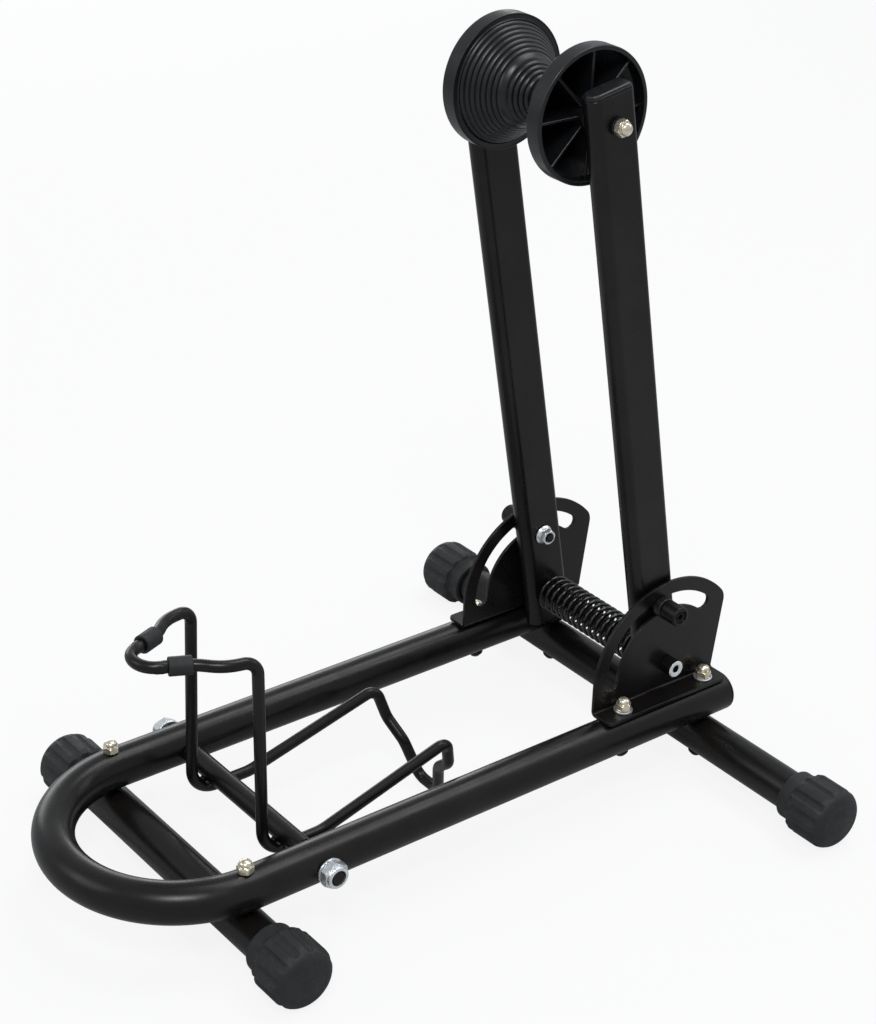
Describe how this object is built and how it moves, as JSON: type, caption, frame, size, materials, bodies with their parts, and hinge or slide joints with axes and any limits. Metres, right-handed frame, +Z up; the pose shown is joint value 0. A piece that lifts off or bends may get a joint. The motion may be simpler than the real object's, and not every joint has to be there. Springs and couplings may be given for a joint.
{
  "type": "floor bike rack",
  "caption": "Floor bike rack: bent tube base on two cross feet, tilting wire wheel cradle, and a folding mast with two cone rollers that steady the tyre.",
  "frame": {"origin": "middle of the footprint's bounding box, on the ground", "axes": "+X from the bend of the base tube towards the mast, -Y the side nearer the picture's camera, +Z up"},
  "size_m": [0.501, 0.4474, 0.5305],
  "materials": {
    "powder_coat": "semi-gloss black powder coat",
    "spring_black": "glossy black spring wire",
    "black_steel": "black oxide",
    "bright_zinc": "bright zinc plate",
    "yellow_zinc": "pale yellow zinc plate",
    "black_plastic": "moulded, satin black",
    "rubber": "matte black"
  },
  "bodies": {
    "base": {"u_frame": "powder_coat", "front_foot": "powder_coat", "rear_foot": "powder_coat", "pivot_shaft": "black_steel", "cradle_rod": "black_steel", "rail_plug_near": "black_plastic", "rail_plug_far": "black_plastic", "front_cap_near": "rubber", "front_cap_far": "rubber", "rear_cap_near": "rubber", "rear_cap_far": "rubber", "bracket_near": "powder_coat", "bracket_far": "powder_coat", "foot_bolt_near": "black_steel", "foot_bolt_far": "black_steel", "foot_nut_near": "yellow_zinc", "foot_nut_far": "yellow_zinc", "bracket_front_bolt_near": "black_steel", "bracket_front_bolt_far": "black_steel", "bracket_front_nut_near": "yellow_zinc", "bracket_front_nut_far": "yellow_zinc", "bracket_rear_bolt_near": "black_steel", "bracket_rear_bolt_far": "black_steel", "bracket_rear_nut_near": "yellow_zinc", "bracket_rear_nut_far": "yellow_zinc", "bracket_front_washer_near": "bright_zinc", "bracket_front_washer_far": "bright_zinc", "bracket_rear_washer_near": "bright_zinc", "bracket_rear_washer_far": "bright_zinc", "pivot_screw_near": "bright_zinc", "pivot_screw_far": "bright_zinc", "rod_washer_near": "bright_zinc", "rod_washer_far": "bright_zinc", "rod_nut_near": "bright_zinc", "rod_nut_far": "bright_zinc"},
    "mast": {"pivot_spring": "spring_black", "roller_axle": "black_steel", "pivot_spacer_near": "black_plastic", "pivot_spacer_far": "black_plastic", "upright_near": "powder_coat", "upright_far": "powder_coat", "upright_cap_near": "black_plastic", "upright_cap_far": "black_plastic", "guide_collar_near": "black_plastic", "guide_collar_far": "black_plastic", "guide_bolt_near": "black_steel", "guide_bolt_far": "black_steel", "guide_nut_near": "bright_zinc", "guide_nut_far": "bright_zinc", "axle_nut_near": "yellow_zinc", "axle_nut_far": "yellow_zinc", "axle_washer_near": "black_plastic", "axle_washer_far": "black_plastic"},
    "roller_near": {"roller_near": "black_plastic"},
    "roller_far": {"roller_far": "black_plastic"},
    "cradle": {"cradle_tube": "powder_coat", "cradle_wire": "powder_coat", "hoop_grip_near": "rubber", "hoop_grip_far": "rubber"}
  },
  "joints": [
    {"name": "mast_pivot", "type": "hinge", "parent": "base", "child": "mast", "pos_m": [0.1984, 0, 0.0849], "axis": [0, -1, 0], "range_deg": [-47, 58]},
    {"name": "roller_near_spin", "type": "hinge", "parent": "mast", "child": "roller_near", "pos_m": [0.12518, -0.024, 0.48658], "axis": [0, 1, 0], "continuous": true},
    {"name": "roller_far_spin", "type": "hinge", "parent": "mast", "child": "roller_far", "pos_m": [0.12518, 0.024, 0.48658], "axis": [0, 1, 0], "continuous": true},
    {"name": "cradle_tilt", "type": "hinge", "parent": "base", "child": "cradle", "pos_m": [-0.10451, 0, 0.0498], "axis": [0, -1, 0], "range_deg": [0, 60]}
  ]
}
